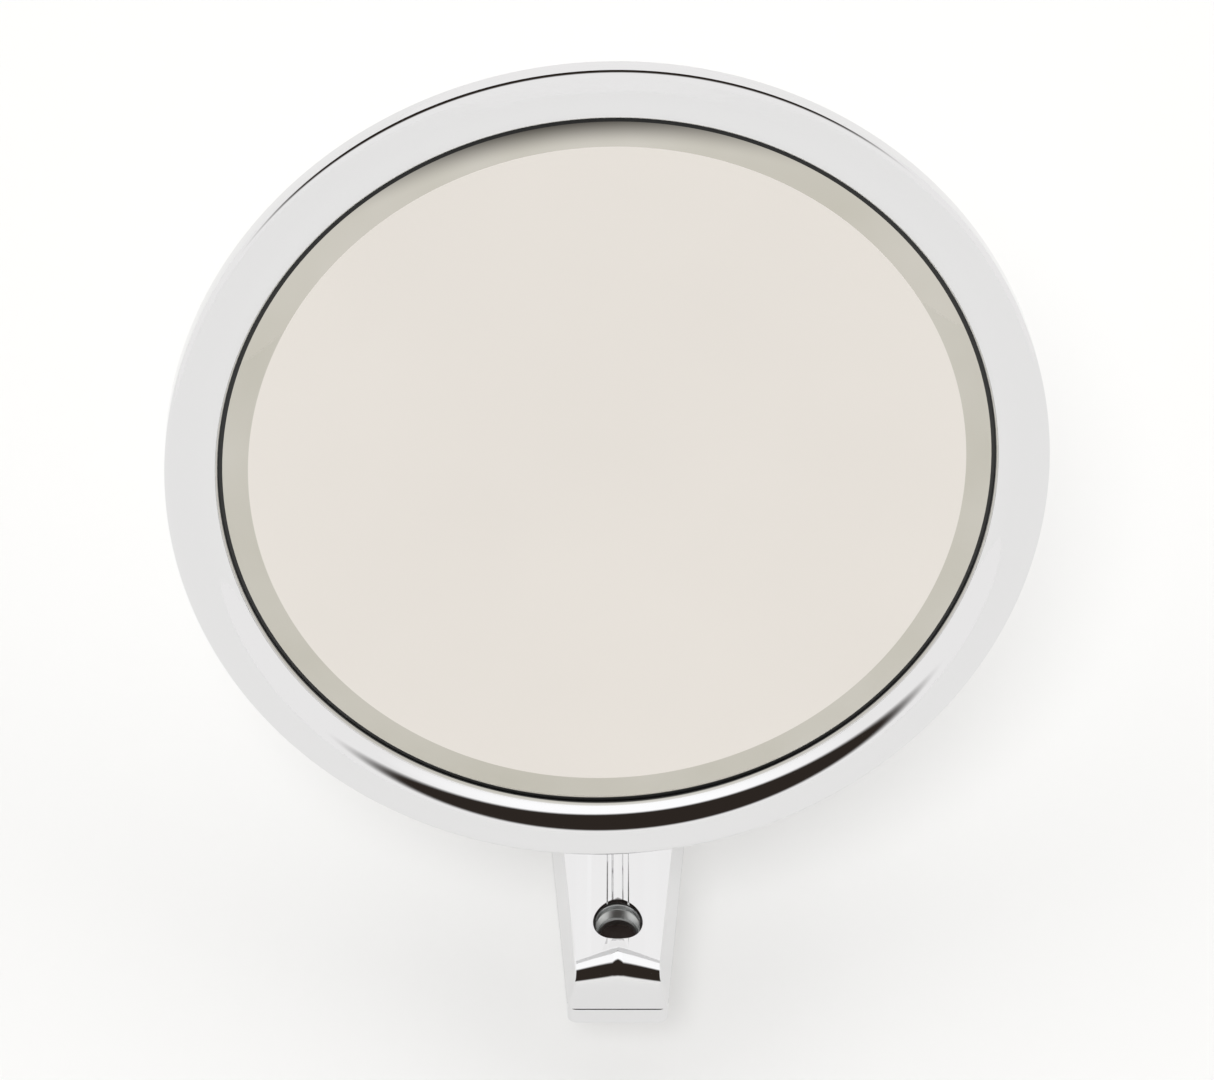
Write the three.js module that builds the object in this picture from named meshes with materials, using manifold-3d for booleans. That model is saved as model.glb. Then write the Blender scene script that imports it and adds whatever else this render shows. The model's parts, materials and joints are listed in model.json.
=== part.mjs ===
// Extendable shaving mirror: a bevelled round mirror in a chrome bezel, tilting on a neck that swivels
// on a folding two-link wall arm. Millimetres, +Z up, the wall at +Y and the user at -Y.
// The origin is the centre of the wall plate's back face. The arms are folded over each other.
import * as THREE from 'three';
import { mergeVertices } from 'three/addons/utils/BufferGeometryUtils.js';
import Module from 'manifold-3d';

const wasm = await Module();
wasm.setup();

// ---- driving dimensions -------------------------------------------------------------------------

const gap = 0.3;                 // between pieces that touch
const slip = 0.35;               // radial play of a shaft in its bush, or of a screw in its hole
const smallSides = 20;           // sides of a small round piece
const ringSides = 48;            // sides of the mirror head's round pieces

// mirror head: radii from the mirror's axis, heights from the flat glass face towards the user
const bezelRadius = 99.5;
const bezelFront = 4.2;          // height of the bezel's face above the glass
const bezelBack = -5;            // height of the bezel's rear edge
const bezelWall = 1.1;           // sheet thickness
const bezelCorner = 1.2;         // outer fillets
const bezelFlange = 3.2;         // rear edge, rolled in over the back shell's rim
const bezelBand = 12;            // width of the bezel's face, from its rim to its opening
const lipRoll = 6.4;             // radius of the rolled inner lip
const glassThick = 4;
const glassLap = 1.1;            // how far the glass reaches under the lip
const bevelWidth = 7.8;
const bevelDrop = 1;
const padWidth = 24;             // foam ring behind the glass
const padThick = 1.5;
const boardThick = 2.4;
const shellWall = 1.1;
const shellDepth = 8;            // dish below the board
const shellFlat = 24;            // radius of the flat at the dish's middle
const padInset = 0.6;            // foam and board inside the glass's edge
const washerInset = 0.5;         // a washer's edge inside the head or seat that covers it

// tilt joint behind the head
const leanBack = 20;             // degrees at rest
const lugThick = 3.7;
const lugRadius = 7;
const lugBaseRadius = 19;
const lugBaseThick = 3;
const lugBaseEdge = 0.8;         // chamfer of the base
const lugStand = 11;             // pivot axis behind the lug's base
const lugShank = 4;              // flat neck of the lug, below its eye
const tiltBolt = 2.5;            // radius of the tilt bolt
const boltHead = 5.2;
const boltHeadThick = 3;
const nutRadius = 5;
const nutLength = 5.5;
const nutFilled = 0.65;          // share of a cap nut that its bolt fills
const washerThick = 0.5;
const springWasherThick = 0.9;
const lugScrewCircle = 13.5;
const lugScrewCount = 3;
const lugScrewRadius = 1.6;
const lugScrewHead = 3;
const lugScrewLength = 9;
const lugScrewHeadThick = 1.5;
const nutPlateThick = 2;

// neck and its swivel
const neckRadius = 4.6;
const neckReach = 18;            // tilt pivot in front of the swivel axis
const neckRise = 107;            // tilt pivot above the front arm
const neckStraight = 62;         // straight stretch above the arm, before the bend
const neckYaw = 2.9;             // degrees at rest
const collarRadius = 11;
const collarHigh = 6;
const collarLip = 1.5;           // collar's top edge outside the rod
const spigotRadius = 5;
const spigotShort = 0.2;         // the spigot ends this far inside its bush
const swivelBushWall = 1.4;
const swivelSeat = 4.5;          // counterbore under the arm for the swivel screw's head
const swivelSeatRadius = 8.2;
const swivelScrewHead = 6.6;
const swivelScrewHeadThick = 2.2;
const swivelScrewRadius = 2.5;
const swivelScrewLength = 9;

// front arm, the upper link: distances from the elbow axis
const tailClear = 8.5;           // front arm's round end to the bracket's ears, folded
const frontArmThick = 14.9;
const noseOut = 15.4;            // elbow axis to the end of the nose
const noseHalf = 11.9;           // half width at the nose
const noseCorner = 2;
const noseRoll = 6.9;            // radius that rolls the top down to the end face
const wideHalf = 16;             // half width where the taper ends
const taperLength = 50;
const roofSlope = 16;            // degrees, either side of the ridge
const socketRadius = 5.5;        // threaded socket on top of the elbow
const socketMouth = 5.85;
const socketDeep = 4.4;
const boreRadius = 4.5;          // bore under the socket
const boreDeep = 4;

// elbow joint
const elbowGap = 0.4;            // between the two links; their washer lies in a recess
const elbowShaft = 3.6;          // radius of the shoulder screw
const elbowBushWall = 1.4;
const elbowWasher = 10;
const elbowHead = 7.4;
const elbowHeadThick = 2.6;
const elbowScrewIn = 3.9;        // engagement in the front arm

// rear arm, the lower link
const rearArmLength = 120;       // wall pivot axis to elbow axis
const rearArmThick = 5;
const rearEndHalf = 11;          // half width round the wall pivot

// wall pivot, bracket and plate
const wallPivotOut = 32;         // pivot axis in front of the wall
const pinRadius = 4;
const pinHead = 6.6;
const pinHeadThick = 2.4;
const pinNut = 6.4;
const pinNutThick = 4.6;
const wallBushWall = 1.3;
const wallWasher = 9.6;
const earThick = 6;
const earRadius = 11;
const webGap = 1.6;              // between the rear arm's round end and the bracket's web
const plateRadius = 35;
const plateThick = 6;
const plateCorner = 2.5;
const wallScrewDome = 0.7;       // head's dome above its rim
const bracketScrewApart = 6.8;   // either side of the bracket's middle
const bracketScrewRadius = 2;
const bracketScrewHead = 3.4;
const bracketScrewHeadThick = 2.4;
const bracketScrewLength = 12;
const wallScrewCount = 3;
const wallScrewCircle = 25;
const wallScrewRadius = 2.1;
const wallScrewHead = 4.4;
const wallScrewLength = 30;
const wallScrewSunk = 0.4;       // head's rim below the plate's face

// ---- sizes that follow --------------------------------------------------------------------------

const radians = THREE.MathUtils.degToRad;
const degrees = THREE.MathUtils.radToDeg;
const linkFace = rearArmThick / 2;                    // the rear arm is centred on z = 0
const frontBottom = linkFace + elbowGap;
const frontTop = frontBottom + frontArmThick;
const wallPivotY = -wallPivotOut;
const elbowY = wallPivotY - rearArmLength;
const frontArmLength = rearArmLength - earRadius - tailClear - wideHalf;   // elbow axis to swivel axis
const swivelY = elbowY + frontArmLength;
const lipRadius = bezelRadius - bezelBand;            // the bezel's opening
const glassRadius = lipRadius + glassLap;
// the rolled lip ends a gap above the bevel, at the opening
const lipEnd = gap - bevelDrop * (bevelWidth - glassLap) / bevelWidth;
const lipMiddle = bezelFront - lipRoll;
const lipTip = Math.asin((lipEnd - lipMiddle) / lipRoll);
const lipCentre = lipRadius + lipRoll * Math.cos(lipTip);   // radius where the roll meets the face
const padBack = -glassThick - gap - padThick;
const boardBack = padBack - gap - boardThick;
const shellInside = boardBack - gap;
const shellBack = shellInside - shellDepth - shellWall;
const pivotBehind = -shellBack + gap + lugBaseThick + lugStand;
const lugOffset = lugThick + washerThick + 2 * gap;   // head lug beside neck lug

// ---- finishes -----------------------------------------------------------------------------------

const finish = (color, roughness, metalness) => new THREE.MeshStandardMaterial(
  { color, roughness, metalness });
const chrome = finish('#d5d8da', 0.06, 1);
const mirror = finish('#e3dfda', 0.02, 1);
const steel = finish('#9a9c9e', 0.32, 1);
const nylon = finish('#e9e7e0', 0.5, 0);
const foam = finish('#3b3c3e', 0.95, 0);
const board = finish('#7a5b3c', 0.85, 0);

// ---- shape tools --------------------------------------------------------------------------------

// closed body for manifold-3d: shared vertices merged, empty triangles dropped
function toSolid(geometry) {
  const bare = geometry.clone();
  bare.deleteAttribute('normal');
  bare.deleteAttribute('uv');
  const merged = mergeVertices(bare, 1e-4);
  const corners = [];
  for (let i = 0; i < merged.index.count; i += 3) {
    const [a, b, c] = [0, 1, 2].map((k) => merged.index.getX(i + k));
    if (a !== b && b !== c && c !== a) corners.push(a, b, c);
  }
  const vertProperties = new Float32Array(merged.attributes.position.array);
  return new wasm.Manifold(new wasm.Mesh({ numProp: 3, vertProperties, triVerts: new Uint32Array(corners) }));
}

function toGeometry(solid) {
  const mesh = solid.getMesh();
  const geometry = new THREE.BufferGeometry();
  geometry.setAttribute('position', new THREE.BufferAttribute(new Float32Array(mesh.vertProperties), 3));
  geometry.setIndex(new THREE.BufferAttribute(new Uint32Array(mesh.triVerts), 1));
  geometry.computeVertexNormals();
  return geometry;
}

const cut = (geometry, ...tools) => toGeometry(
  tools.reduce((solid, tool) => solid.subtract(toSolid(tool)), toSolid(geometry)));
const join = (geometry, ...others) => toGeometry(
  others.reduce((solid, other) => solid.add(toSolid(other)), toSolid(geometry)));
const common = (geometry, ...others) => toGeometry(
  others.reduce((solid, other) => solid.intersect(toSolid(other)), toSolid(geometry)));

// points of an arc in a profile, from one angle to another, in degrees
function arc(x, y, radius, from, to, steps = 6) {
  return Array.from({ length: steps + 1 }, (_, i) => {
    const angle = radians(from + (to - from) * i / steps);
    return [x + radius * Math.cos(angle), y + radius * Math.sin(angle)];
  });
}

// a [radius, height] outline turned about +Z, whichever way round it is listed
function turned(outline, sides = smallSides) {
  const area = outline.reduce((sum, [x, y], i) => {
    const [nextX, nextY] = outline[(i + 1) % outline.length];
    return sum + x * nextY - nextX * y;
  }, 0);
  const ordered = area > 0 ? outline : [...outline].reverse();
  const points = ordered.map(([x, y]) => new THREE.Vector2(x, y));
  if (ordered.every(([x]) => x > 0)) points.push(points[0].clone());
  return new THREE.LatheGeometry(points, sides).rotateX(Math.PI / 2);
}

const disc = (radius, low, high, sides) => turned(
  [[0, low], [radius, low], [radius, high], [0, high]], sides);
const tube = (inner, outer, low, high, sides) => turned(
  [[inner, low], [outer, low], [outer, high], [inner, high]], sides);

// a flat shape given a depth along +Z
const extruded = (shape, depth, curveSegments = 12) => new THREE.ExtrudeGeometry(
  shape, { depth, bevelEnabled: false, curveSegments });

// a domed screw head from z = low upwards, on its shank below
function screw(shank, length, head, headThick, low = 0) {
  return turned([
    [0, low - length], [shank * 0.7, low - length], [shank, low - length + shank * 0.5], [shank, low],
    [head, low], ...arc(head - headThick * 0.7, low + headThick * 0.3, headThick * 0.7, 0, 90, 2),
    [0, low + headThick]]);
}

// turn a shape made along +Z so that it runs along another axis
const alongY = (geometry) => geometry.rotateX(-Math.PI / 2);
const alongMinusY = (geometry) => geometry.rotateX(Math.PI / 2);
const alongX = (geometry) => geometry.rotateY(Math.PI / 2);

const group = new THREE.Group();

// a frame that the pieces of one body are placed in
function place(parent, x, y, z) {
  const frame = new THREE.Group();
  frame.position.set(x, y, z);
  parent.add(frame);
  return frame;
}

function piece(name, geometry, material, parent) {
  const mesh = new THREE.Mesh(geometry, material);
  mesh.name = name;
  parent.add(mesh);
  return mesh;
}

// ---- wall plate, bracket and pivot --------------------------------------------------------------

function wallMount() {
  const wall = place(group, 0, 0, 0);
  const screwSpots = Array.from({ length: wallScrewCount }, (_, i) => {
    const angle = radians(90 + i * 360 / wallScrewCount);
    return [wallScrewCircle * Math.cos(angle), wallScrewCircle * Math.sin(angle)];
  });
  const holeRadius = wallScrewRadius + slip;
  const sinkRadius = wallScrewHead + slip + wallScrewSunk;
  const screwHoles = screwSpots.map(([x, z]) => alongMinusY(turned([
    [0, -1], [holeRadius, -1], [holeRadius, plateThick - sinkRadius + holeRadius],
    [sinkRadius, plateThick], [sinkRadius, plateThick + 1], [0, plateThick + 1]])).translate(x, 0, z));
  const bracketScrewSpots = [-bracketScrewApart, bracketScrewApart];
  const bracketHoles = bracketScrewSpots.flatMap((x) => [
    alongMinusY(disc(bracketScrewHead + slip, -1, bracketScrewHeadThick + 2 * gap)).translate(x, 0, 0),
    alongMinusY(disc(bracketScrewRadius + slip, -1, plateThick + 1)).translate(x, 0, 0)]);
  const plate = alongMinusY(turned([
    [0, 0], [plateRadius, 0],
    ...arc(plateRadius - plateCorner, plateThick - plateCorner, plateCorner, 0, 90, 4),
    [0, plateThick]], 48));
  piece('wall_plate', cut(plate, ...bracketHoles, ...screwHoles), chrome, wall);

  // countersunk wall screws, heads just below the plate's face
  screwSpots.forEach(([x, z], i) => {
    const top = plateThick - wallScrewSunk;
    const cone = wallScrewHead - wallScrewRadius;
    const shape = turned([
      [0, top - wallScrewLength], [wallScrewRadius, top - wallScrewLength + 2 * wallScrewRadius],
      [wallScrewRadius, top - cone], [wallScrewHead, top], [0, top + wallScrewDome]]);
    piece(`wall_screw_${i + 1}`, alongMinusY(shape).translate(x, 0, z), steel, wall);
  });

  // fork with two ears round the rear arm's end, held to the plate from behind
  const earInner = linkFace + washerThick + 2 * gap;
  const earOuter = earInner + earThick;
  const webFace = wallPivotY + rearEndHalf + webGap;
  const bracketBack = -plateThick - gap;
  const earShape = new THREE.Shape();
  earShape.absarc(0, wallPivotY, earRadius, Math.PI, 2 * Math.PI);
  earShape.lineTo(earRadius, bracketBack);
  earShape.lineTo(-earRadius, bracketBack);
  const fork = extruded(earShape, 2 * earOuter, 14).translate(0, 0, -earOuter);
  const slotDepth = webFace - (wallPivotY - earRadius - 1);
  const slot = new THREE.BoxGeometry(2 * earRadius + 2, slotDepth, 2 * earInner);
  slot.translate(0, webFace - slotDepth / 2, 0);
  const pinHole = disc(pinRadius + slip, -earOuter - 1, earOuter + 1);
  pinHole.translate(0, wallPivotY, 0);
  const threadDeep = bracketScrewHeadThick + bracketScrewLength + 2 * gap;
  const threads = bracketScrewSpots.map(
    (x) => alongMinusY(disc(bracketScrewRadius + slip, 0, threadDeep, 16)).translate(x, 0, 0));
  piece('wall_bracket', cut(fork, slot, pinHole, ...threads), chrome, wall);

  const bracketScrew = screw(bracketScrewRadius, bracketScrewLength, bracketScrewHead, bracketScrewHeadThick);
  alongY(bracketScrew).translate(0, -bracketScrewHeadThick - gap, 0);
  bracketScrewSpots.forEach((x, i) => {
    piece(`bracket_screw_${i + 1}`, bracketScrew.clone().translate(x, 0, 0), steel, wall);
  });

  // pivot pin with its cap nut
  const pinLength = 2 * earOuter + 2 * gap + pinNutThick * nutFilled - gap;
  const pin = screw(pinRadius, pinLength, pinHead, pinHeadThick, earOuter + gap);
  piece('wall_pin', pin.translate(0, wallPivotY, 0), chrome, wall);
  const nutTop = -earOuter - gap;
  const nutBore = pinRadius + slip;
  const pinEnd = earOuter + gap - pinLength;
  const nut = turned([
    [0, nutTop - pinNutThick], [pinNut * 0.55, nutTop - pinNutThick],
    [pinNut * 0.9, nutTop - pinNutThick * 0.65], [pinNut, nutTop - pinNutThick * 0.5], [pinNut, nutTop],
    [nutBore, nutTop], [nutBore, pinEnd - gap], [0, pinEnd - gap]]);
  piece('wall_pin_nut', nut.translate(0, wallPivotY, 0), chrome, wall);
}

// ---- rear arm -----------------------------------------------------------------------------------

function rearLink() {
  const rear = place(group, 0, wallPivotY, 0);
  const noseEnd = -rearArmLength - noseOut;
  const wideAt = noseEnd + taperLength;
  const outline = new THREE.Shape();
  outline.absarc(0, 0, rearEndHalf, 0, Math.PI);
  outline.lineTo(-wideHalf, wideAt);
  outline.absarc(-noseHalf + noseCorner, noseEnd + noseCorner, noseCorner, Math.PI, 1.5 * Math.PI);
  outline.absarc(noseHalf - noseCorner, noseEnd + noseCorner, noseCorner, 1.5 * Math.PI, 2 * Math.PI);
  outline.lineTo(wideHalf, wideAt);
  const bar = extruded(outline, rearArmThick, 16).translate(0, 0, -linkFace);
  const wallBushOut = pinRadius + slip + wallBushWall;
  const elbowBushOut = elbowShaft + slip + elbowBushWall;
  const wallBore = disc(wallBushOut + gap, -linkFace - 1, linkFace + 1);
  const elbowBore = disc(elbowBushOut + gap, -linkFace - 1, linkFace + 1);
  elbowBore.translate(0, -rearArmLength, 0);
  piece('rear_arm', cut(bar, wallBore, elbowBore), chrome, rear);

  piece('wall_bush', tube(pinRadius + slip, wallBushOut, -linkFace, linkFace), nylon, rear);
  const washer = tube(pinRadius + slip, wallWasher, 0, washerThick);
  piece('wall_washer_upper', washer.clone().translate(0, 0, linkFace + gap), nylon, rear);
  piece('wall_washer_lower', washer.clone().translate(0, 0, -linkFace - gap - washerThick), nylon, rear);
  const elbowBush = tube(elbowShaft + slip, elbowBushOut, -linkFace, linkFace);
  piece('elbow_bush', elbowBush.translate(0, -rearArmLength, 0), nylon, rear);
}

// ---- front arm and elbow ------------------------------------------------------------------------

function frontLink() {
  const front = place(group, 0, elbowY, 0);
  const wideAt = taperLength - noseOut;
  const plan = new THREE.Shape();
  plan.absarc(-noseHalf + noseCorner, -noseOut + noseCorner, noseCorner, Math.PI, 1.5 * Math.PI);
  plan.absarc(noseHalf - noseCorner, -noseOut + noseCorner, noseCorner, 1.5 * Math.PI, 2 * Math.PI);
  plan.lineTo(wideHalf, wideAt);
  plan.absarc(0, frontArmLength, wideHalf, 0, Math.PI);
  plan.lineTo(-wideHalf, wideAt);
  const planSolid = extruded(plan, frontArmThick, 18).translate(0, 0, frontBottom);

  // side view: the top rolls down into the end face of the nose
  const far = frontArmLength + wideHalf + 1;
  const side = new THREE.Shape();
  side.moveTo(-noseOut, frontBottom - 1);
  side.lineTo(far, frontBottom - 1);
  side.lineTo(far, frontTop);
  side.absarc(-noseOut + noseRoll, frontTop - noseRoll, noseRoll, Math.PI / 2, Math.PI);
  const sideSolid = extruded(side, 2 * wideHalf + 2, 18);
  const acrossX = new THREE.Matrix4().makeBasis(
    new THREE.Vector3(0, 1, 0), new THREE.Vector3(0, 0, 1), new THREE.Vector3(1, 0, 0));
  sideSolid.applyMatrix4(acrossX).translate(-wideHalf - 1, 0, 0);

  // end view: a low roof with its ridge on the centre line
  const eave = wideHalf + 1;
  const eaveTop = frontTop - eave * Math.tan(radians(roofSlope));
  const end = new THREE.Shape();
  end.moveTo(-eave, frontBottom - 1);
  end.lineTo(eave, frontBottom - 1);
  end.lineTo(eave, eaveTop);
  end.lineTo(0, frontTop);
  end.lineTo(-eave, eaveTop);
  const endSolid = extruded(end, far + noseOut + 2);
  alongMinusY(endSolid).translate(0, far + 1, 0);

  const boss = disc(wideHalf, frontBottom, frontTop, 36);
  boss.translate(0, frontArmLength, 0);
  const socketFloor = frontTop - socketDeep;
  const boreFloor = socketFloor - boreDeep;
  const mouthStep = socketMouth - socketRadius;
  const socket = turned([
    [0, boreFloor], [boreRadius, boreFloor], [boreRadius, socketFloor], [socketRadius, socketFloor],
    [socketRadius, frontTop - 2 * mouthStep], [socketMouth + 1, frontTop + 1], [0, frontTop + 1]]);
  const elbowHole = disc(elbowShaft + slip, frontBottom - 1, boreFloor + 1);
  const bushOut = spigotRadius + slip + swivelBushWall;
  const washerSeat = linkFace + washerThick + 2 * gap;
  const washerRecess = disc(elbowWasher + gap, frontBottom - 1, washerSeat);
  const swivelHole = disc(bushOut + gap, frontBottom - 1, frontTop + 1);
  const swivelSeatHole = disc(swivelSeatRadius, frontBottom - 1, frontBottom + swivelSeat);
  swivelHole.translate(0, frontArmLength, 0);
  swivelSeatHole.translate(0, frontArmLength, 0);
  const arm = join(common(planSolid, sideSolid, endSolid), boss);
  piece('front_arm', cut(arm, socket, elbowHole, washerRecess, swivelHole, swivelSeatHole), chrome, front);

  // shoulder screw from below, spring washer under its head, friction washer between the links
  const headSeat = -linkFace - 2 * gap - springWasherThick;
  const elbowScrew = screw(elbowShaft, frontBottom + elbowScrewIn - headSeat, elbowHead, elbowHeadThick, 0);
  elbowScrew.rotateX(Math.PI).translate(0, 0, headSeat);
  piece('elbow_screw', elbowScrew, chrome, front);
  const springWasher = tube(elbowShaft + slip, elbowHead - washerInset, 0, springWasherThick);
  piece('elbow_spring_washer', springWasher.translate(0, 0, headSeat + gap), steel, front);
  const frictionWasher = tube(elbowShaft + slip, elbowWasher, linkFace + gap, washerSeat - gap);
  piece('elbow_washer', frictionWasher, nylon, front);

  const swivelBush = tube(spigotRadius + slip, bushOut, frontBottom + swivelSeat, frontTop);
  piece('swivel_bush', swivelBush.translate(0, frontArmLength, 0), nylon, front);
}

// ---- neck: collar, bent rod and the lug of the tilt joint ---------------------------------------

// pivot axis of the tilt joint: the neck's lug on the swivel axis plane, the head's lug beside it
function neckParts() {
  const neck = place(group, 0, swivelY, 0);
  neck.rotation.z = radians(neckYaw);
  const seat = frontTop + gap;
  const pivotZ = frontTop + neckRise;
  const bendFrom = frontTop + neckStraight;
  const bendTo = pivotZ - lugRadius - lugShank / 2;
  const half = (bendTo - bendFrom) / 2;
  const path = new THREE.CurvePath();
  const rodFoot = new THREE.Vector3(0, 0, seat + collarHigh - 1);
  path.add(new THREE.LineCurve3(rodFoot, new THREE.Vector3(0, 0, bendFrom)));
  path.add(new THREE.CubicBezierCurve3(
    new THREE.Vector3(0, 0, bendFrom), new THREE.Vector3(0, 0, bendFrom + half),
    new THREE.Vector3(0, -neckReach, bendTo - half), new THREE.Vector3(0, -neckReach, bendTo)));
  const section = new THREE.Shape();
  section.absarc(0, 0, neckRadius, 0, 2 * Math.PI);
  const rod = new THREE.ExtrudeGeometry(section, { steps: 20, extrudePath: path, curveSegments: 9 });
  const lug = alongX(disc(lugRadius, -lugThick / 2, lugThick / 2));
  lug.translate(0, -neckReach, pivotZ);
  const shankHigh = lugRadius + lugShank;
  const shank = new THREE.BoxGeometry(lugThick, 2 * neckRadius, shankHigh);
  shank.translate(0, -neckReach, pivotZ - shankHigh / 2);
  const boltHole = alongX(disc(tiltBolt + slip, -lugThick, lugThick));
  boltHole.translate(0, -neckReach, pivotZ);
  const spigotBottom = frontBottom + swivelSeat + spigotShort;
  const spigot = disc(spigotRadius, spigotBottom, seat + collarHigh);
  const collar = turned([
    [0, seat], [collarRadius, seat], [collarRadius, seat + collarHigh * 0.5],
    [neckRadius + collarLip, seat + collarHigh], [0, seat + collarHigh]]);
  const threadHole = disc(swivelScrewRadius + slip, spigotBottom - 1, spigotBottom + swivelScrewLength + 1);
  piece('neck', cut(join(rod, lug, shank, spigot, collar), boltHole, threadHole), chrome, neck);

  // retaining washer and screw, sunk into the underside of the arm
  const washerTop = frontBottom + swivelSeat - gap;
  const retainerOuter = swivelSeatRadius - washerInset;
  const retainer = tube(swivelScrewRadius + slip, retainerOuter, washerTop - springWasherThick, washerTop);
  piece('swivel_washer', retainer, steel, neck);
  const headSeat = washerTop - springWasherThick - gap;
  const swivelScrew = screw(swivelScrewRadius, swivelScrewLength, swivelScrewHead, swivelScrewHeadThick);
  piece('swivel_screw', swivelScrew.rotateX(Math.PI).translate(0, 0, headSeat), steel, neck);

  // tilt bolt: head beside the neck's lug, shank through both lugs into the nut
  const boltSeat = lugThick / 2 + 2 * gap + springWasherThick;
  const nutSeat = lugOffset + lugThick / 2 + gap;
  const boltLength = boltSeat + nutSeat + nutLength * nutFilled;
  const bolt = alongX(screw(tiltBolt, boltLength, boltHead, boltHeadThick, boltSeat));
  piece('tilt_bolt', bolt.translate(0, -neckReach, pivotZ), chrome, neck);
  const boltWasher = alongX(tube(tiltBolt + slip, boltHead - washerInset, 0, springWasherThick));
  piece('tilt_spring_washer', boltWasher.translate(lugThick / 2 + gap, -neckReach, pivotZ), steel, neck);
  const friction = alongX(tube(tiltBolt + slip, lugRadius - washerInset, 0, washerThick));
  const frictionAt = -lugThick / 2 - gap - washerThick;
  piece('tilt_washer', friction.translate(frictionAt, -neckReach, pivotZ), nylon, neck);
  const boltEnd = boltSeat - boltLength;
  const nut = alongX(turned([
    [0, -nutSeat - nutLength], [nutRadius * 0.5, -nutSeat - nutLength],
    [nutRadius * 0.9, -nutSeat - nutLength * 0.75], [nutRadius, -nutSeat - nutLength * 0.55],
    [nutRadius, -nutSeat], [tiltBolt + slip, -nutSeat], [tiltBolt + slip, boltEnd - gap],
    [0, boltEnd - gap]]));
  piece('tilt_nut', nut.translate(0, -neckReach, pivotZ), chrome, neck);

  const head = place(neck, -lugOffset, -neckReach, pivotZ);
  head.rotation.x = -radians(leanBack);
  return head;
}

// ---- mirror head: its frame has the tilt axis as origin and looks along -Y ----------------------

// a piece whose heights are measured from the glass face towards the user
const faced = (geometry) => alongMinusY(geometry).translate(0, -pivotBehind, 0);

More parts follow.
